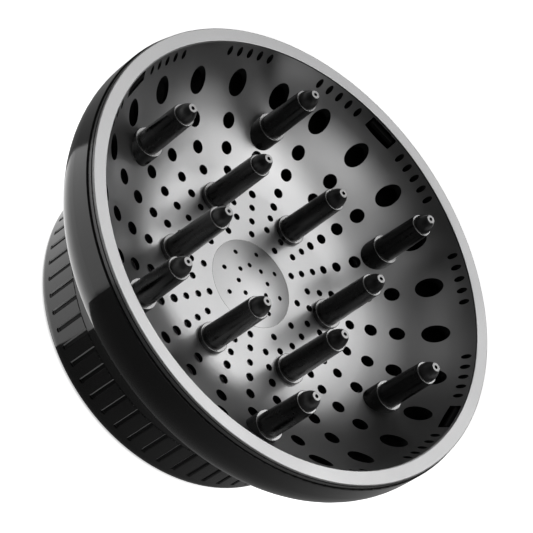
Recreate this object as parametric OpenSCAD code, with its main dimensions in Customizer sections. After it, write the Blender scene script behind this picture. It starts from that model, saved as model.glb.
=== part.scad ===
// Hair dryer diffuser: a perforated silver dish with twelve hollow fingers in
// a black bowl, and a ribbed twist collar that closes six jaws on the nozzle.
// Frame: +Z runs from the collar's rear face, z = 0, towards the fingers.
// Azimuth 0 is +X and runs through an outer finger.

/* [Dish] */
// Outer radius of the silver rim
rim_r = 80; // [79:0.25:80.5]
// Width of the flat rim face
rim_w = 4.75; // [4.25:0.25:5]
// Height of the rim face above the rear face of the collar
rim_z = 63.6; // [63:0.2:66]
// Depth of the dish floor below the rim face
dish_depth = 25.9; // [25:0.1:26.5]
// Radius of the flat part of the dish floor
floor_r = 35.3; // [34.5:0.1:35.5]
// Wall thickness of the silver plate
plate_t = 1.6; // [1.2:0.1:1.8]
// Height of the domed centre cap above the dish floor
dome_h = 1.35; // [0.8:0.05:2]

/* [Fingers] */
// Radius of the ring of tall fingers
outer_ring_r = 56.95; // [56.5:0.05:57.5]
// Radius of the ring of short fingers
inner_ring_r = 31; // [30.8:0.1:31.3]
// How far the tall fingers stand above the rim face
outer_rise = 7.5; // [4:0.5:12]
// How far the short fingers stand above the rim face
inner_rise = 2.8; // [0:0.2:8]
// Shaft radius at the foot
shaft_foot_r = 4.3; // [4.1:0.05:4.5]
// Shaft radius under the tip
shaft_top_r = 3.95; // [3.8:0.05:4.1]
// Length of the soft tip above its shoulder
tip_h = 4.6; // [4:0.1:6]

/* [Bowl] */
// Outer radius of the bowl's side band
bowl_r = 80.7; // [80.6:0.05:81.2]
// Radius of the bowl's round shoulder
shoulder_r = 17; // [16:0.5:18]
// Wall thickness of the bowl
bowl_t = 2.2; // [2:0.1:2.5]

/* [Collar] */
// Outer radius of the ribbed twist collar
collar_r = 57.6; // [57.4:0.1:58.5]
// Length of the collar along its axis
collar_h = 19.1; // [18.6:0.05:19.1]
// Number of grip grooves around the collar
groove_count = 60; // [48:6:72]
// Width of each grip groove
groove_w = 1.1; // [0.8:0.1:1.3]
// Depth of each grip groove
groove_d = 0.6; // [0.4:0.1:0.7]

/* [Clamp] */
// Radius of the nozzle that the open jaws take
open_r = 33; // [32:0.25:33]
// How far each jaw slides inwards when the collar is tightened
jaw_travel = 9.5; // [8:0.25:9.5]
// Turn of the collar that closes the jaws, in degrees
twist = 75; // [70:1:80]

/* [Hidden] */
$fn = 96;
eps = 0.01;
gap = 0.3;                 // clearance between pieces that move past each other
run_gap = 0.1;             // running clearance of the collar on the jaw guide

SILVER = [0.80, 0.80, 0.81];
GLOSS = [0.05, 0.05, 0.055];
SOFT = [0.10, 0.10, 0.11];
STEEL = [0.62, 0.63, 0.65];

finger_count = 6;          // fingers in each of the two rings, and jaws in the clamp

// dish: a flat floor, then one arc tangent to it that ends just below the rim
rim_in_r = rim_r - rim_w;
floor_z = rim_z - dish_depth;
lip_drop = 0.3;
wall_rise = dish_depth - lip_drop;
curve_r = (pow(rim_in_r - floor_r, 2) + pow(wall_rise, 2)) / (2 * wall_rise);
curve_z = floor_z + curve_r;
flange_t = 0.9;
flange_z = rim_z - flange_t;
fine_edge_r = 0.3;         // rounding of the visible edges of the rim and bowl
seam_edge_r = 0.15;        // rounding of the collar's front edge, beside the bowl's neck
seam_gap = 0.25;           // between the collar and the neck
cut_h = 60;                // length of the cutters that pass through the plate

// centre cap: a shallow spherical dome that fills the plate's centre hole
cap_r = 15.8;
cap_gap = 0.08;
cap_flange_r = 17.3;
cap_flange_t = 1;
cap_t = 1.4;
dome_r = (cap_r * cap_r + dome_h * dome_h) / (2 * dome_h);
cap_hole_r = 0.85;
CAP_RINGS = [[6.1, 30], [11.5, 7.5]];   // ring radius, azimuth of its first hole
cap_hole_step = 45;

// plate holes: ring radius, hole radius, azimuths left out within each 60 degrees
hole_step = 15;
HOLE_RINGS = [
    [24.3, 1.21, []],
    [29.7, 1.21, [30]],
    [35.1, 1.48, [30]],
    [41.3, 1.74, []],
    [48.9, 2.17, []],
    [57.3, 2.41, [0]],
    [67.3, 3.35, []]
];
first_ring_r = 19.2;
first_hole_r = 1.21;
first_step = 30;
rim_hole_ring_r = 73.7;
rim_hole_r = 0.9;
rim_group_step = 30;
rim_hole_step = 10 / 3;
window_w = 11.5;
window_in_r = 72.8;
WINDOWS = [30, 120, 210, 300];
window_depth = 14;

// fingers
sector = 360 / finger_count;
inner_turn = sector / 2;
foot_r = 5.3;
outer_foot_z = rim_z - 15.5;
inner_foot_z = floor_z + 1.6;
finger_edge_r = 0.2;       // rounding of the shoulder and foot edges
spigot_r = 3.8;
bore_r = 2;
tip_base_r = 3.25;
tip_end_r = 1.5;
tip_hole_r = 0.65;
tip_plug_h = 5;
tip_curve_r = (pow(tip_base_r - tip_end_r, 2) + tip_h * tip_h) / (2 * (tip_base_r - tip_end_r));
retainer_r = 6.4;
retainer_t = 0.9;
spigot_past = 1.2;         // length of spigot behind its retainer
// the retainer of a tall finger bears on the sloping back of the wall at its inner edge
wall_a = asin((outer_ring_r - retainer_r - floor_r) / (curve_r + plate_t));
outer_retainer_z = curve_z - (curve_r + plate_t) * cos(wall_a) - retainer_t;
inner_retainer_z = floor_z - plate_t - retainer_t;

// bowl
bowl_top_z = rim_z - 2.7;
shoulder_z = rim_z - 10;
shoulder_c_r = bowl_r - shoulder_r;
shoulder_a = 60;           // turn of the shoulder arc, in degrees
back_slope = tan(90 - shoulder_a);
neck_z = collar_h + seam_gap;
shelf_t = 2.5;
shelf_in_r = 42;
shoulder_end = [shoulder_c_r + shoulder_r * cos(shoulder_a), shoulder_z - shoulder_r * sin(shoulder_a)];
// the neck flares into the sloping back along one arc, tangent to both
flare_r = (shoulder_end[1] + (collar_r - shoulder_end[0]) * back_slope - neck_z)
    / (1 / cos(90 - shoulder_a) - back_slope);
flare_c = [collar_r + flare_r, neck_z];
flare_end = flare_c + flare_r * [-cos(shoulder_a), sin(shoulder_a)];
inner_end = [shoulder_c_r + (shoulder_r - bowl_t) * cos(shoulder_a),
             shoulder_z - (shoulder_r - bowl_t) * sin(shoulder_a)];
inner_neck_r = 56;
inner_neck_z = inner_end[1] - (inner_end[0] - inner_neck_r) * back_slope;

// trim ring
trim_r = rim_r + 0.2;
trim_core_r = rim_r - 0.4;
trim_in_r = 77.1;
trim_strip_t = 1.3;
trim_line = 0.25;          // height of the parting line on each side of the strip
trim_spigot_r = bowl_r - bowl_t - 0.1;
trim_spigot_z = rim_z - 6;
barb_in_r = 73.8;
barb_w = 10;
barb_t = 1.4;

// twist collar
edge_r = 4;                // rounding of the collar's rear edge
collar_in_r = 54;
collar_floor_t = 3.2;
mouth_r = 35;
groove_start_z = 5.4;
groove_ramp = 1.6;
groove_edge = 0.35;        // chamfer along both edges of a groove
groove_turn = -0.4;        // azimuth of the first groove
track_d = 2;
track_w = 4;
track_overrun = 3;         // degrees of track past each end of the travel
track_steps = 20;
follow_r = 50.2;
lead = jaw_travel / twist;

// jaw guide
guide_z = collar_floor_t + gap;
guide_r = collar_in_r - run_gap;
guide_in_r = 38;
channel_w = 14.6;
channel_h = 4.8;
guide_top_z = guide_z + channel_h + 2.7;
channel_end_r = 52.8;
guide_wall_t = 3;
boss_r = 3.5;
boss_ring_r = 46.5;
bead_z = 13.2;
bead_t = 1.4;
bead_h = 1;
screw_r = 1.5;
screw_head_r = 2.9;
screw_head_t = 2.1;
screw_len = 9;
pilot_r = 1.25;

// jaws
jaw_turn = 0;              // azimuth of jaw 1
jaw_w = channel_w - 2 * gap;
jaw_z = guide_z + 0.1;
jaw_bar_t = channel_h - gap - 0.1;
jaw_end_r = channel_end_r - 0.4;
pad_t = 2;
tongue_t = 2.4;
tongue_r = open_r + pad_t + tongue_t;
grip_z = 24.5;             // top of the jaw's gripping tongue
jaw_half_a = 18.3;         // half of the angle that one jaw covers
stop_w = 1.2;
stop_t = 2;
pin_r = 1.7;

function polar(r, a) = [r * cos(a), r * sin(a)];

// 2D pie slice of a circle round a centre, between two angles up to 90 apart
module pie(centre, r, a0, a1) {
    far = 2 * r;
    translate(centre) intersection() {
        circle(r);
        polygon([[0, 0], polar(far, a0), polar(far, a1)]);
    }
}

module at(r, a) {
    rotate(a) translate([r, 0, 0]) children();
}

// 2D bar whose top corners are rounded where asked: which = [inner, outer]
module rounded_bar(x, z, w, h, r, which) {
    translate([x, z]) square([w, h - r]);
    translate([x + (which[0] ? r : 0), z]) square([w - (which[0] ? r : 0) - (which[1] ? r : 0), h]);
    if (which[0]) pie([x + r, z + h - r], r, 90, 180);
    if (which[1]) pie([x + w - r, z + h - r], r, 0, 90);
}

// ring with a square section
module ring(z, h, r_in, r_out) {
    translate([0, 0, z]) difference() {
        cylinder(h = h, r = r_out);
        translate([0, 0, -1]) cylinder(h = h + 2, r = r_in);
    }
}

// ---------------------------------------------------------------- dish

module dish_profile() {
    // flat floor
    translate([cap_r, floor_z - plate_t]) square([floor_r - cap_r, plate_t]);
    // curved wall, kept below the flange
    intersection() {
        translate([floor_r, curve_z]) difference() {
            circle(curve_r + plate_t);
            circle(curve_r);
        }
        translate([floor_r, floor_z - 2 * plate_t])
            square([rim_r - floor_r, dish_depth + 2 * plate_t - 0.5]);
    }
    // flat rim
    rounded_bar(rim_in_r, flange_z, rim_w, flange_t, fine_edge_r, [true, true]);
}

module plate_holes() {
    for (a = [0 : first_step : 359]) hole(first_ring_r, a, first_hole_r);
    for (ring = HOLE_RINGS, a = [0 : hole_step : 359])
        if (len(search(a % sector, ring[2])) == 0) hole(ring[0], a, ring[1]);
    for (g = [rim_group_step / 2 : rim_group_step : 359], i = [-2 : 2])
        hole(rim_hole_ring_r, g + i * rim_hole_step, rim_hole_r);
}

module hole(r, a, hole_r) {
    at(r, a) translate([0, 0, rim_z - cut_h]) cylinder(h = cut_h - flange_t / 2, r = hole_r);
}

module snap_windows() {
    for (a = WINDOWS) rotate(a)
        translate([window_in_r, -window_w / 2, flange_z - window_depth])
            cube([rim_r - window_in_r - eps, window_w, window_depth]);
}

module dish_plate() {
    color(SILVER) difference() {
        rotate_extrude() dish_profile();
        plate_holes();
        snap_windows();
        for (i = [0 : finger_count - 1]) {
            hole(outer_ring_r, i * sector, spigot_r);
            hole(inner_ring_r, i * sector + inner_turn, spigot_r);
        }
    }
}

// ---------------------------------------------------------------- centre cap

module cap_profile() {
    back_z = floor_z - plate_t;
    flange_back_z = back_z - cap_flange_t;
    skirt_in_r = cap_r - cap_t - 1;
    // dome
    intersection() {
        translate([0, floor_z + dome_h - dome_r]) difference() {
            circle(dome_r);
            circle(dome_r - cap_t);
        }
        translate([0, back_z]) square([cap_r - cap_gap, plate_t + dome_h + 1]);
    }
    // skirt in the plate's hole, and the flange behind the plate
    translate([skirt_in_r, flange_back_z])
        square([cap_r - cap_gap - skirt_in_r, cap_flange_t + plate_t - 0.4]);
    translate([skirt_in_r, flange_back_z]) square([cap_flange_r - skirt_in_r, cap_flange_t]);
}

module centre_cap() {
    color(SILVER) difference() {
        rotate_extrude() cap_profile();
        for (ring = CAP_RINGS, a = [0 : cap_hole_step : 359]) hole(ring[0], a + ring[1], cap_hole_r);
    }
}

// ---------------------------------------------------------------- fingers

// the open space of the dish, used to fit a foot collar to the curved wall
module dish_space() {
    rotate_extrude() {
        pie([floor_r, curve_z], curve_r, -75, -15);
        polygon([
            [floor_r, curve_z],
            [floor_r, curve_z + curve_r],
            [rim_in_r, curve_z + curve_r],
            [floor_r + curve_r * cos(15), curve_z - curve_r * sin(15)]
        ]);
    }
}

module shaft_profile(low_z, top_z) {
    e = finger_edge_r;
    polygon([
        [0, low_z], [shaft_foot_r, low_z],
        [shaft_top_r, top_z - e], [shaft_top_r - e, top_z], [0, top_z]
    ]);
    pie([shaft_top_r - e, top_z - e], e, 0, 90);
}

// round foot with its upper edge rounded
module foot_body(low_z, top_z) {
    rotate_extrude() rounded_bar(0, low_z, foot_r, top_z - low_z, finger_edge_r, [false, true]);
}

// shaft with a tapered side; the bore carries air to the tip
module shaft(foot_z, top_z, end_z) {
    difference() {
        union() {
            rotate_extrude() shaft_profile(foot_z - 0.4, top_z);
            translate([0, 0, end_z]) cylinder(h = foot_z - end_z, r = spigot_r);
            children();
        }
        translate([0, 0, end_z - 1]) cylinder(h = top_z - end_z + 2, r = bore_r);
    }
}

// the foot of a tall finger follows the curved wall under it
module finger_outer(i) {
    foot_low_z = floor_z + 2;
    end_z = outer_retainer_z - spigot_past;
    color(GLOSS) at(outer_ring_r, i * sector) shaft(outer_foot_z, rim_z + outer_rise - tip_h, end_z)
        rotate(-i * sector) translate(-[outer_ring_r * cos(i * sector), outer_ring_r * sin(i * sector), 0])
            intersection() {
                at(outer_ring_r, i * sector) foot_body(foot_low_z, outer_foot_z);
                dish_space();
            }
}

module finger_inner(i) {
    end_z = inner_retainer_z - spigot_past;
    top_z = rim_z + inner_rise - tip_h;
    color(GLOSS) at(inner_ring_r, i * sector + inner_turn) shaft(inner_foot_z, top_z, end_z)
        foot_body(floor_z, inner_foot_z);
}

// bullet tip with an air hole, plugged into the bore of its finger
module soft_tip(ring_r, azimuth, base_z) {
    color(SOFT) at(ring_r, azimuth) translate([0, 0, base_z]) rotate_extrude() {
        intersection() {
            translate([tip_base_r - tip_curve_r, 0]) circle(tip_curve_r);
            translate([tip_hole_r, 0]) square([tip_base_r, tip_h]);
        }
        translate([tip_hole_r, -tip_plug_h]) square([bore_r - tip_hole_r, tip_plug_h]);
    }
}

module tip_outer(i) {
    soft_tip(outer_ring_r, i * sector, rim_z + outer_rise - tip_h);
}

module tip_inner(i) {
    soft_tip(inner_ring_r, i * sector + inner_turn, rim_z + inner_rise - tip_h);
}

module finger_retainers() {
    color(STEEL) for (i = [0 : finger_count - 1]) {
        at(outer_ring_r, i * sector) ring(outer_retainer_z, retainer_t, spigot_r, retainer_r);
        at(inner_ring_r, i * sector + inner_turn) ring(inner_retainer_z, retainer_t, spigot_r, retainer_r);
    }
}

// ---------------------------------------------------------------- bowl

module bowl_outside() {
    polygon([
        [0, neck_z], [collar_r, neck_z],
        [collar_r, flare_end[1]], flare_end, shoulder_end,
        [shoulder_c_r, shoulder_z]
    ]);
    rounded_bar(0, shoulder_z, bowl_r, bowl_top_z - shoulder_z, fine_edge_r, [false, true]);
    pie([shoulder_c_r, shoulder_z], shoulder_r, -shoulder_a, 0);
    difference() {
        polygon([[collar_r, neck_z], flare_c, flare_end, [collar_r, flare_end[1]]]);
        translate(flare_c) circle(flare_r);
    }
}

module bowl_inside() {
    polygon([
        [0, neck_z + shelf_t], [inner_neck_r, neck_z + shelf_t],
        [inner_neck_r, inner_neck_z], inner_end,
        [shoulder_c_r, shoulder_z], [bowl_r - bowl_t, shoulder_z],
        [bowl_r - bowl_t, bowl_top_z + 1], [0, bowl_top_z + 1]
    ]);
    pie([shoulder_c_r, shoulder_z], shoulder_r - bowl_t, -shoulder_a, 0);
}

module bowl() {
    color(GLOSS) difference() {
        rotate_extrude() difference() {
            bowl_outside();
            bowl_inside();
            translate([0, neck_z - 1]) square([shelf_in_r, shelf_t + 2]);
        }
        for (i = [0 : finger_count - 1])
            at(boss_ring_r, jaw_turn + (i + 0.5) * sector) translate([0, 0, neck_z - 1])
                cylinder(h = shelf_t + 2, r = screw_r + 0.2);
    }
}

module trim_ring() {
    strip_z = flange_z - trim_line - trim_strip_t;
    color(GLOSS) union() {
        ring(bowl_top_z, flange_z - bowl_top_z, trim_in_r, trim_core_r);
        ring(strip_z, trim_strip_t, trim_core_r - 1, trim_r);
        ring(trim_spigot_z, bowl_top_z - trim_spigot_z + 0.5, trim_in_r, trim_spigot_r);
        for (a = WINDOWS) rotate(a) translate([barb_in_r, -barb_w / 2, flange_z - 2 * barb_t])
            cube([trim_in_r - barb_in_r + 0.6, barb_w, barb_t]);
    }
}

// ---------------------------------------------------------------- twist collar

module collar_profile() {
    difference() {
        union() {
            translate([edge_r + mouth_r, 0]) square([collar_r - 2 * edge_r - mouth_r, edge_r]);
            translate([mouth_r, 0]) square([edge_r, edge_r]);
            pie([collar_r - edge_r, edge_r], edge_r, -90, 0);
            rounded_bar(mouth_r, edge_r, collar_r - mouth_r, collar_h - edge_r, seam_edge_r, [false, true]);
        }
        translate([mouth_r - 1, collar_floor_t]) square([collar_in_r - mouth_r + 1, collar_h]);
        // groove that the guide's bead snaps into
        translate([collar_in_r - 1, bead_z - gap]) square([1 + bead_h + gap, bead_t + 2 * gap]);
    }
}

// a grip groove with chamfered edges that ramps out before the rounded rear edge
module grip_groove() {
    bottom_r = collar_r - groove_d;
    side_y = groove_w / 2;
    edge_y = side_y + groove_edge + 1;
    rotate([90, 0, 0]) translate([0, 0, -side_y]) linear_extrude(groove_w)
        polygon([
            [bottom_r, collar_h + 1], [bottom_r, groove_start_z + groove_ramp],
            [collar_r + 1, groove_start_z - groove_ramp], [collar_r + 1, collar_h + 1]
        ]);
    translate([0, 0, groove_start_z + groove_ramp / 2]) linear_extrude(collar_h)
        polygon([
            [collar_r - groove_edge, -side_y], [collar_r + 1, -edge_y],
            [collar_r + 1, edge_y], [collar_r - groove_edge, side_y]
        ]);
}

// spiral track in the collar's floor: its radius shrinks evenly with the turn
module scroll_track(azimuth) {
    first = -twist - track_overrun;
    span = twist + 2 * track_overrun;
    turns = [for (i = [0 : track_steps]) first + span * i / track_steps];
    back_turns = [for (i = [track_steps : -1 : 0]) turns[i]];
    side_in = [for (b = turns) polar(follow_r + lead * b - track_w / 2, azimuth + b)];
    side_out = [for (b = back_turns) polar(follow_r + lead * b + track_w / 2, azimuth + b)];
    translate([0, 0, collar_floor_t - track_d]) linear_extrude(track_d + 1)
        polygon(concat(side_in, side_out));
}

module twist_collar() {
    color(GLOSS) difference() {
        rotate_extrude() collar_profile();
        for (i = [0 : groove_count - 1]) rotate(groove_turn + i * 360 / groove_count) grip_groove();
        for (i = [0 : finger_count - 1]) scroll_track(jaw_turn + i * sector);
    }
}

// ---------------------------------------------------------------- jaw guide

module jaw_guide() {
    color(SOFT) difference() {
        union() {
            ring(guide_z, guide_top_z - guide_z, guide_in_r, guide_r);
            ring(guide_top_z - 1, neck_z - guide_top_z + 1, guide_r - guide_wall_t, guide_r);
            ring(bead_z, bead_t, guide_r - 1, collar_in_r + bead_h);
            for (i = [0 : finger_count - 1])
                at(boss_ring_r, jaw_turn + (i + 0.5) * sector) translate([0, 0, guide_top_z - 1])
                    cylinder(h = neck_z - guide_top_z + 1, r = boss_r);
        }
        for (i = [0 : finger_count - 1]) {
            rotate(jaw_turn + i * sector) translate([guide_in_r - 5, -channel_w / 2, guide_z - 1])
                cube([channel_end_r - guide_in_r + 5, channel_w, channel_h + 1]);
            at(boss_ring_r, jaw_turn + (i + 0.5) * sector) translate([0, 0, neck_z - screw_len])
                cylinder(h = screw_len + 1, r = pilot_r);
        }
    }
}

module guide_screws() {
    color(STEEL) for (i = [0 : finger_count - 1])
        at(boss_ring_r, jaw_turn + (i + 0.5) * sector) translate([0, 0, neck_z + shelf_t]) difference() {
            union() {
                cylinder(h = screw_head_t, r = screw_head_r);
                translate([0, 0, -shelf_t]) cylinder(h = shelf_t + eps, r = screw_r);
                translate([0, 0, 1 - shelf_t - screw_len]) cylinder(h = screw_len, r = pilot_r);
            }
            for (a = [0, 90]) rotate(a) translate([-1.8, -0.4, screw_head_t - 1.2]) cube([3.6, 0.8, 2]);
        }
}

// ---------------------------------------------------------------- jaws

// wedge that keeps what lies within half the jaw's angle of +X
module jaw_wedge(z, h) {
    far = 2 * tongue_r;
    translate([0, 0, z]) linear_extrude(h)
        polygon([[0, 0], polar(far, -jaw_half_a), polar(far, jaw_half_a)]);
}

module jaw(i) {
    tongue_in_r = open_r + pad_t;
    color(SOFT) rotate(jaw_turn + i * sector) {
        // tongue that grips, with a stop for the nozzle's end
        intersection() {
            union() {
                ring(jaw_z, grip_z - jaw_z, tongue_in_r, tongue_r);
                ring(grip_z - stop_t, stop_t, open_r - stop_w, tongue_r);
            }
            jaw_wedge(jaw_z - 1, grip_z);
        }
        // bar in its channel, and the follower in the scroll track
        translate([tongue_in_r + tongue_t / 2, -jaw_w / 2, jaw_z])
            cube([jaw_end_r - tongue_in_r - tongue_t / 2, jaw_w, jaw_bar_t]);
        translate([follow_r, 0, collar_floor_t - track_d + gap])
            cylinder(h = jaw_z - collar_floor_t + track_d, r = pin_r);
    }
}

module jaw_pad(i) {
    color(SOFT) rotate(jaw_turn + i * sector) intersection() {
        ring(jaw_z, grip_z - stop_t - jaw_z, open_r, open_r + pad_t);
        jaw_wedge(jaw_z - 1, grip_z);
    }
}

bowl();
trim_ring();
dish_plate();
centre_cap();
finger_retainers();
twist_collar();
jaw_guide();
guide_screws();
for (i = [0 : finger_count - 1]) {
    finger_outer(i);
    finger_inner(i);
    tip_outer(i);
    tip_inner(i);
    jaw(i);
    jaw_pad(i);
}
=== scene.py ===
import math

import bpy
from mathutils import Matrix, Vector


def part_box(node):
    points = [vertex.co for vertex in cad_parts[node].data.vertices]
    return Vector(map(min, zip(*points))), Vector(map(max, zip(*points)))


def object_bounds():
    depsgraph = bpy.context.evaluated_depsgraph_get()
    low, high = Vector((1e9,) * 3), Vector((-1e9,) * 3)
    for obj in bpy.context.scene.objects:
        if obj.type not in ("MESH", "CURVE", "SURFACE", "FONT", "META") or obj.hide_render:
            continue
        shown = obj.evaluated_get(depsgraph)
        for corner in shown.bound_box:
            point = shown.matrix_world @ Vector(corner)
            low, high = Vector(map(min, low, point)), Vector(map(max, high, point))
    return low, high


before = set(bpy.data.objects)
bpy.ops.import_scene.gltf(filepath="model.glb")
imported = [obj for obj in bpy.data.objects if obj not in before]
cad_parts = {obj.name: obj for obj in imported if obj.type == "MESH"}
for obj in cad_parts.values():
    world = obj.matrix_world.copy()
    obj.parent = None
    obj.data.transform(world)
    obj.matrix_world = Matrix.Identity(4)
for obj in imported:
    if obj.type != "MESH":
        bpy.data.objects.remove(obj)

CAD_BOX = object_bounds()

# ---------------------------------------------------------------- driving sizes, read from the frame

RIM_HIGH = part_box("dish_plate")[1]
RIM_R = RIM_HIGH.x
RIM_CENTRE = Vector((0, 0, RIM_HIGH.z))
COLLAR_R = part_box("twist_collar")[1].x
FLOOR_Z = CAD_BOX[0].z                  # the part stands on the rear face of its collar

# ---------------------------------------------------------------- camera

CAM_AZIMUTH = 16.27      # degrees from +X
CAM_ELEVATION = 40.59
CAM_DISTANCE = 9.67      # rim radii from the middle of the rim
CAM_ROLL = 55.67         # the photograph leans the part over to one side
CAM_LENS = 164.6
AIM = Vector((0.2262, 0.0441, 0))    # point of the rim plane in the middle of the picture, in rim radii


def direction(azimuth, elevation):
    a = math.radians(azimuth)
    e = math.radians(elevation)
    return Vector((math.cos(e) * math.cos(a), math.cos(e) * math.sin(a), math.sin(e)))


def look(obj, target, roll):
    """Turns obj so that its -Z axis points at target."""
    quat = (target - obj.location).to_track_quat("-Z", "Y")
    obj.rotation_euler = (quat.to_matrix() @ Matrix.Rotation(math.radians(roll), 3, "Z")).to_euler()


def make_camera():
    data = bpy.data.cameras.new("camera")
    data.lens = CAM_LENS
    data.sensor_width = 36
    data.clip_start = 0.05
    data.clip_end = 20
    cam = bpy.data.objects.new("camera", data)
    bpy.context.scene.collection.objects.link(cam)
    cam.location = RIM_CENTRE + direction(CAM_AZIMUTH, CAM_ELEVATION) * CAM_DISTANCE * RIM_R
    look(cam, RIM_CENTRE + AIM * RIM_R, CAM_ROLL)
    bpy.context.scene.camera = cam


# ---------------------------------------------------------------- node helpers

NOISE_RANGE = (0.3, 0.7)     # the stretch of a noise value that spread() maps
GRAIN_DEPTH = 0.00002
SIDE_BLEND = 0.1             # half the range over which an inner face becomes an outer one


def new_material(name):
    mat = bpy.data.materials.new(name)
    mat.use_nodes = True
    tree = mat.node_tree
    return mat, tree, tree.nodes["Principled BSDF"]


def add(tree, kind, **values):
    node = tree.nodes.new(kind)
    for key, value in values.items():
        setattr(node, key, value)
    return node


def feed(tree, socket, value):
    """Links another node's output to the socket, or sets a plain value on it."""
    if isinstance(value, bpy.types.NodeSocket):
        tree.links.new(value, socket)
    else:
        socket.default_value = value


def calculate(tree, operation, *values):
    node = add(tree, "ShaderNodeMath", operation=operation)
    for socket, value in zip(node.inputs, values):
        feed(tree, socket, value)
    return node.outputs["Value"]


def combine(tree, operation, *vectors):
    """Vector arithmetic; a dot product or a length comes out as a number."""
    node = add(tree, "ShaderNodeVectorMath", operation=operation)
    for socket, value in zip(node.inputs, vectors):
        feed(tree, socket, value)
    return node.outputs["Value" if operation in ("DOT_PRODUCT", "LENGTH") else "Vector"]


def noise(tree, coords, scale, detail=2.0):
    node = add(tree, "ShaderNodeTexNoise")
    node.inputs["Scale"].default_value = scale
    node.inputs["Detail"].default_value = detail
    tree.links.new(coords.outputs["Object"], node.inputs["Vector"])
    return node.outputs["Fac"]


def map_range(tree, value, source, target, interpolation):
    node = add(tree, "ShaderNodeMapRange", interpolation_type=interpolation)
    node.inputs["From Min"].default_value, node.inputs["From Max"].default_value = source
    node.inputs["To Min"].default_value, node.inputs["To Max"].default_value = target
    tree.links.new(value, node.inputs["Value"])
    return node.outputs["Result"]


def spread(tree, value, low, high):
    """Maps a noise value to low..high."""
    return map_range(tree, value, NOISE_RANGE, (low, high), "LINEAR")


def ramp(tree, value, low, high, to_low=0.0, to_high=1.0):
    """Smooth step from to_low at low to to_high at high."""
    return map_range(tree, value, (low, high), (to_low, to_high), "SMOOTHSTEP")


def flat_position(tree, coords):
    """Where a point lies across the part's axis, its height left out."""
    return combine(tree, "MULTIPLY", coords.outputs["Object"], (1, 1, 0))


def polar_radius(tree, coords):
    """Distance from the part's axis, in metres."""
    return combine(tree, "LENGTH", flat_position(tree, coords))


def facing_up(tree, coords, low, high):
    """0 where a face looks sideways or back, 1 where it looks forwards, along the part's axis."""
    split = add(tree, "ShaderNodeSeparateXYZ")
    tree.links.new(coords.outputs["Normal"], split.inputs["Vector"])
    return ramp(tree, split.outputs["Z"], low, high)


def facing_out(tree, coords):
    """0 where a face looks into the hollow of a bowl, 1 where it looks out of it."""
    away = combine(tree, "NORMALIZE", flat_position(tree, coords))
    away_and_back = combine(tree, "SUBTRACT", away, (0, 0, 1))
    side = combine(tree, "DOT_PRODUCT", away_and_back, coords.outputs["Normal"])
    return ramp(tree, side, -SIDE_BLEND, SIDE_BLEND)


def facing_round(tree, coords, low, high):
    """1 where a face looks anticlockwise round the axis, seen from the front."""
    around = combine(tree, "CROSS_PRODUCT", (0, 0, 1), coords.outputs["Object"])
    unit = combine(tree, "NORMALIZE", around)
    return ramp(tree, combine(tree, "DOT_PRODUCT", unit, coords.outputs["Normal"]), low, high)


def colour_mix(tree, value, dark, light, blend="MIX"):
    """Mixes two colours by a 0..1 value, or blends the second into the first by it."""
    node = add(tree, "ShaderNodeMix", data_type="RGBA", blend_type=blend)
    feed(tree, node.inputs["A"], (*dark, 1) if isinstance(dark, tuple) else dark)
    feed(tree, node.inputs["B"], (*light, 1) if isinstance(light, tuple) else light)
    feed(tree, node.inputs["Factor"], value)
    return node.outputs["Result"]


def grain(tree, shader, coords, scale, strength):
    """Fine relief of the moulded or painted surface."""
    node = add(tree, "ShaderNodeBump")
    node.inputs["Strength"].default_value = strength
    node.inputs["Distance"].default_value = GRAIN_DEPTH
    tree.links.new(noise(tree, coords, scale), node.inputs["Height"])
    tree.links.new(node.outputs["Normal"], shader.inputs["Normal"])


def grey(level, tint=0.0):
    return (level, level, level * (1 + tint))


# ---------------------------------------------------------------- finishes

BARE_PLASTIC = grey(0.006, 0.05)
GLOSS_DARK, GLOSS_LIGHT = grey(0.004), grey(0.006)
# blacker than the plastic: painted shade for recesses, inside the bowl, in groove bottoms and on the trim's
# hooks
PAINTED_SHADE_BLACK = grey(0.001)

# A pair with a face's direction in it says where a finish starts and where it is whole.
SILVER_FRONT = (0.2, 0.36)          # paint, on faces that look forwards
SILVER_ROUGHNESS = (0.34, 0.38)
EDGE_DEPTH = 0.0002                 # the rim's outer edge, this deep, has a thin grey coat
RIM_WIDTH = 0.0052
RUBBED_PART = 0.12                  # the outermost part of the rim's width is rubbed smoother
RUBBED_BY = 0.08
HIGHLIGHT_FRONT = (0.7, 0.97)           # painted highlight on the fingers' shoulders and ends, which look forwards
HIGHLIGHT_SIDE = (0.3, 0.6)              # painted highlight on the collar, on faces that look anticlockwise
GROOVE_DEPTH = (0.0004, 0.0003)     # depths between which the dull bottom of a grip groove, with its painted shade, begins
HOOK_DEPTH = (0.0022, 0.0017)       # depths inside the rim's edge between which the trim's hooks, with their painted shade, begin


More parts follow.
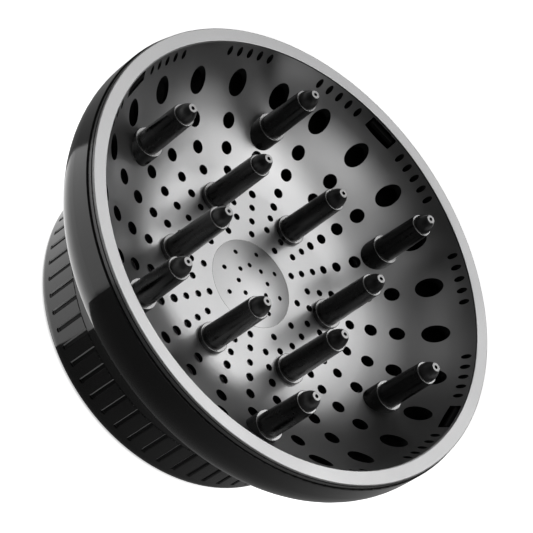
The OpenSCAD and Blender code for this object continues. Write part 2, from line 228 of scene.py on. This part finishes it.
def painted_silver():
    """Black plastic, painted satin silver where it looks forwards; hole walls and the back stay black."""
    mat, tree, shader = new_material("satin_silver")
    coords = add(tree, "ShaderNodeTexCoord")
    radius = polar_radius(tree, coords)
    front = facing_up(tree, coords, *SILVER_FRONT)
    slow = noise(tree, coords, scale=60, detail=4.0)
    flake = spread(tree, noise(tree, coords, scale=16000, detail=1.0), 0.94, 1.06)
    lacquer = colour_mix(tree, slow, grey(0.60), grey(0.64, 0.01))
    paint = colour_mix(tree, 1.0, lacquer, flake, blend="MULTIPLY")
    edge = ramp(tree, radius, RIM_R - EDGE_DEPTH, RIM_R - EDGE_DEPTH / 2)
    under = colour_mix(tree, edge, BARE_PLASTIC, grey(0.11))
    feed(tree, shader.inputs["Base Color"], colour_mix(tree, front, under, paint))
    feed(tree, shader.inputs["Metallic"], front)
    wear_and_painted_highlight = ramp(tree, radius, RIM_R - RIM_WIDTH * RUBBED_PART, RIM_R, 0.0, -RUBBED_BY)
    rough = calculate(tree, "ADD", spread(tree, slow, *SILVER_ROUGHNESS), wear_and_painted_highlight)
    feed(tree, shader.inputs["Roughness"], rough)
    grain(tree, shader, coords, scale=9000, strength=0.1)
    return mat


def painted_highlight_black(name, colour, highlight_colour, rough_low, rough_high, ior):
    """Black moulded plastic; its forward faces, the shoulders and ends, get a metallic painted highlight.
    """
    mat, tree, shader = new_material(name)
    coords = add(tree, "ShaderNodeTexCoord")
    # painted highlight: forward faces take a lighter colour and turn metallic
    highlight_mask = facing_up(tree, coords, *HIGHLIGHT_FRONT)
    slow = noise(tree, coords, scale=180, detail=3.0)
    body = colour_mix(tree, slow, colour, tuple(c * 1.5 for c in colour))
    feed(tree, shader.inputs["Base Color"], colour_mix(tree, highlight_mask, body, highlight_colour))
    feed(tree, shader.inputs["Metallic"], highlight_mask)
    feed(tree, shader.inputs["Roughness"], spread(tree, slow, rough_low, rough_high))
    shader.inputs["IOR"].default_value = ior
    grain(tree, shader, coords, scale=7000, strength=0.12)
    return mat


def shell_plastic():
    """Gloss black shell with faint smears; its inside is matt from the mould, and blacker as painted shade.
    """
    mat, tree, shader = new_material("shell_gloss")
    coords = add(tree, "ShaderNodeTexCoord")
    outside = facing_out(tree, coords)
    slow = noise(tree, coords, scale=60, detail=4.0)
    skin = colour_mix(tree, slow, GLOSS_DARK, GLOSS_LIGHT)
    # the inside takes the blacker colour as painted shade; its higher roughness is the mould's matt finish
    feed(tree, shader.inputs["Base Color"], colour_mix(tree, outside, PAINTED_SHADE_BLACK, skin))
    matt = ramp(tree, outside, 0, 1, 0.9, 0.0)
    rough = calculate(tree, "MAXIMUM", spread(tree, slow, 0.10, 0.14), matt)
    feed(tree, shader.inputs["Roughness"], rough)
    grain(tree, shader, coords, scale=900, strength=0.04)
    return mat


def grip_plastic():
    """Gloss black collar; groove bottoms dull with painted shade, one groove side a pale painted highlight.
    """
    mat, tree, shader = new_material("grip_gloss")
    coords = add(tree, "ShaderNodeTexCoord")
    deep, shallow = (COLLAR_R - depth for depth in GROOVE_DEPTH)
    # groove bottoms: matt, with the blacker colour as painted shade
    groove = ramp(tree, polar_radius(tree, coords), deep, shallow, 1.0, 0.0)
    # one side of each groove: a pale colour as painted highlight, and rougher
    highlight_side = facing_round(tree, coords, *HIGHLIGHT_SIDE)
    slow = noise(tree, coords, scale=80, detail=4.0)
    skin = colour_mix(tree, slow, GLOSS_DARK, GLOSS_LIGHT)
    wear_and_painted_highlight = colour_mix(tree, slow, grey(0.10), grey(0.16))
    surface = colour_mix(tree, highlight_side, skin, wear_and_painted_highlight)
    feed(tree, shader.inputs["Base Color"], colour_mix(tree, groove, surface, PAINTED_SHADE_BLACK))
    highlight_side_dull = ramp(tree, highlight_side, 0, 1, 0.0, 0.4)
    groove_dull = ramp(tree, groove, 0, 1, 0.0, 0.8)
    dull = calculate(tree, "MAXIMUM", highlight_side_dull, groove_dull)
    rough = calculate(tree, "MAXIMUM", spread(tree, slow, 0.12, 0.17), dull)
    feed(tree, shader.inputs["Roughness"], rough)
    grain(tree, shader, coords, scale=1200, strength=0.05)
    return mat


def trim_plastic():
    """Satin black ring; its snap hooks, inside the rim, are dull from the mould, and blacker as painted
    shade.
    """
    mat, tree, shader = new_material("trim_satin")
    coords = add(tree, "ShaderNodeTexCoord")
    deep, shallow = (RIM_R - depth for depth in HOOK_DEPTH)
    hook = ramp(tree, polar_radius(tree, coords), deep, shallow, 1.0, 0.0)
    slow = noise(tree, coords, scale=90, detail=3.0)
    skin = colour_mix(tree, slow, grey(0.03), grey(0.04))
    # the hooks take the blacker colour as painted shade
    feed(tree, shader.inputs["Base Color"], colour_mix(tree, hook, skin, PAINTED_SHADE_BLACK))
    rough = calculate(tree, "MAXIMUM", spread(tree, slow, 0.24, 0.30), hook)
    feed(tree, shader.inputs["Roughness"], rough)
    grain(tree, shader, coords, scale=8000, strength=0.15)
    return mat


def plain(name, colour_low, colour_high, rough_low, rough_high, metal=0.0):
    """Finish with a fine grain and slow changes of colour and roughness."""
    mat, tree, shader = new_material(name)
    coords = add(tree, "ShaderNodeTexCoord")
    slow = noise(tree, coords, scale=60, detail=4.0)
    feed(tree, shader.inputs["Base Color"], colour_mix(tree, slow, colour_low, colour_high))
    feed(tree, shader.inputs["Roughness"], spread(tree, slow, rough_low, rough_high))
    shader.inputs["Metallic"].default_value = metal
    grain(tree, shader, coords, scale=9000, strength=0.1)
    return mat


NODE_MATERIALS = {
    "bowl": shell_plastic(),
    "trim_ring": trim_plastic(),
    "twist_collar": grip_plastic(),
}
SLOT_MATERIALS = {
    "silver": painted_silver(),
    # the third value is the colour of each finish's painted highlight
    "finger_black": painted_highlight_black("finger_black", grey(0.004), grey(0.35), 0.25, 0.29, ior=1.6),
    "soft_tip": painted_highlight_black("soft_tip", grey(0.010), grey(0.42), 0.32, 0.38, ior=1.7),
    "inner_black": plain("inner_black", grey(0.012), grey(0.016), 0.45, 0.55),
    "pad_rubber": plain("pad_rubber", grey(0.02), grey(0.025), 0.6, 0.7),
    "steel": plain("steel", grey(0.55), grey(0.6), 0.25, 0.35, metal=1.0),
}


def dress_cad_nodes():
    """Gives each CAD node its own finish, or that of its record slot, which names its imported material."""
    for node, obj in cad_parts.items():
        for slot in obj.material_slots:
            slot.material = NODE_MATERIALS.get(node) or SLOT_MATERIALS[slot.material.name]


# ---------------------------------------------------------------- floor

FLOOR_HALF = 4.0
FLOOR_DROP = 0.0002       # keeps the floor clear of the part's rear face
FLOOR_GLOW = 0.85
FOOT_GLOW = 0.45          # extra glow close round the foot
GLOW_RADII = (0.9, 1.4)   # rim radii over which the extra glow fades
FOOT_SOFT = 0.004         # the glow starts this far inside the foot's edge


def place(name, mesh, material, z):
    mesh.materials.append(material)
    obj = bpy.data.objects.new(name, mesh)
    bpy.context.scene.collection.objects.link(obj)
    obj.location.z = z
    return obj


def floor_material():
    """White that glows a little, except under the part, where the glow would leak up through the holes."""
    mat, tree, shader = new_material("floor_white")
    shader.inputs["Base Color"].default_value = (0.8, 0.8, 0.8, 1)
    shader.inputs["Roughness"].default_value = 0.9
    shader.inputs["Emission Color"].default_value = (1, 1, 1, 1)
    radius = polar_radius(tree, add(tree, "ShaderNodeTexCoord"))
    near, far = (RIM_R * radii for radii in GLOW_RADII)
    glow = ramp(tree, radius, near, far, FLOOR_GLOW + FOOT_GLOW, FLOOR_GLOW)
    outside = ramp(tree, radius, COLLAR_R - FOOT_SOFT, COLLAR_R)
    feed(tree, shader.inputs["Emission Strength"], calculate(tree, "MULTIPLY", glow, outside))
    return mat


def make_floor():
    mesh = bpy.data.meshes.new("floor")
    corners = [(x * FLOOR_HALF, y * FLOOR_HALF, 0) for x, y in ((-1, -1), (1, -1), (1, 1), (-1, 1))]
    mesh.from_pydata(corners, [], [(0, 1, 2, 3)])
    floor = place("floor", mesh, floor_material(), FLOOR_Z - FLOOR_DROP)


# ---------------------------------------------------------------- card

# Inner and outer edge: radius, first and last azimuth. The gap from last to first leaves one bright side
# to the shell.
CARD_INNER = (COLLAR_R - 0.0016, -2.5, 300)
CARD_OUTER = (0.6, -12.9, 300)
CARD_STEPS = 96
CARD_LIFT = 0.0005
CARD_LEVEL = (0.06, 0.27)
CARD_RAMP = (10, 120)     # degrees from +X, to either side, over which the card grows lighter


def card_material():
    mat, tree, shader = new_material("card_grey")
    shader.inputs["Base Color"].default_value = (0, 0, 0, 1)
    shader.inputs["Specular IOR Level"].default_value = 0
    shader.inputs["Emission Color"].default_value = (1, 1, 1, 1)
    coords = add(tree, "ShaderNodeTexCoord")
    split = add(tree, "ShaderNodeSeparateXYZ")
    tree.links.new(coords.outputs["Object"], split.inputs["Vector"])
    azimuth = calculate(tree, "ARCTAN2", split.outputs["Y"], split.outputs["X"])
    either_side = calculate(tree, "ABSOLUTE", azimuth)
    low, high = (math.radians(a) for a in CARD_RAMP)
    # faint glow, least towards +X and more to either side: painted shade in reflections, lifting to the
    # sides
    feed(tree, shader.inputs["Emission Strength"], ramp(tree, either_side, low, high, *CARD_LEVEL))
    return mat


def make_card():
    """Dark studio card round the part's foot, seen only in reflections: painted shade that shell and collar
    mirror.
    """
    verts = []
    for i in range(CARD_STEPS + 1):
        for radius, first, last in (CARD_INNER, CARD_OUTER):
            turn = math.radians(first + (last - first) * i / CARD_STEPS)
            verts.append((radius * math.cos(turn), radius * math.sin(turn), 0))
    faces = [(2 * i, 2 * i + 1, 2 * i + 3, 2 * i + 2) for i in range(CARD_STEPS)]
    mesh = bpy.data.meshes.new("card")
    mesh.from_pydata(verts, [], faces)
    card = place("card", mesh, card_material(), FLOOR_Z + CARD_LIFT)
    card.visible_camera = False
    card.visible_diffuse = False
    card.visible_shadow = False


# ---------------------------------------------------------------- light

# Round soft lights in the sky: azimuth, elevation, outer and inner radius in degrees, radiance.
# Most radiances come from a least-squares fit to the photograph, which a scratch program made. Those of the
# key, of the two lights beside it and of the high one at azimuth 16 were set one by one.
SOFT_BOXES = [
    # key light, near where flat forward faces mirror the sky into the camera, and one light to each side
    (192, 42, 5.5, 3.5, 3.6),
    (180, 42, 9, 4, 0.7),
    (212, 42, 9, 4, 1.2),
    # high ring, 45 degrees apart, with two of its eight places left empty
    (196, 58, 22, 6, 0.9),
    (151, 58, 22, 6, 1.65),
    (241, 58, 22, 6, 0.5),
    (61, 58, 22, 6, 0.78),
    (106, 58, 22, 6, 0.15),
    (16, 58, 22, 6, 0.25),
    # nearly overhead
    (0, 85, 24, 6, 0.3),
    # low
    (136, 32, 20, 6, 0.47),
    (286, 32, 20, 6, 0.18),
    (316, 32, 20, 6, 0.14),
    # close over the horizon
    (90, 8, 20, 6, 0.33),
    (286, 8, 20, 6, 0.09),
]


def soft_box(tree, view, azimuth, elevation, outer, inner, radiance):
    """Full inside the inner radius and gone at the outer one."""
    near = combine(tree, "DOT_PRODUCT", view, direction(azimuth, elevation))
    dark, full = (math.cos(math.radians(a)) for a in (outer, inner))
    return ramp(tree, near, dark, full, 0, radiance)


def make_world():
    world = bpy.data.worlds.new("world")
    bpy.context.scene.world = world
    world.use_nodes = True
    tree = world.node_tree
    background = tree.nodes["Background"]
    background.inputs["Color"].default_value = (1, 1, 1, 1)
    view = add(tree, "ShaderNodeTexCoord").outputs["Generated"]
    total = 0.0
    for box in SOFT_BOXES:
        total = calculate(tree, "ADD", total, soft_box(tree, view, *box))
    # the camera itself sees a plain white backdrop behind the floor
    seen = add(tree, "ShaderNodeLightPath").outputs["Is Camera Ray"]
    feed(tree, background.inputs["Strength"], calculate(tree, "MAXIMUM", total, seen))


bpy.context.scene.view_settings.view_transform = "Standard"
dress_cad_nodes()
make_floor()
make_card()
make_world()
make_camera()
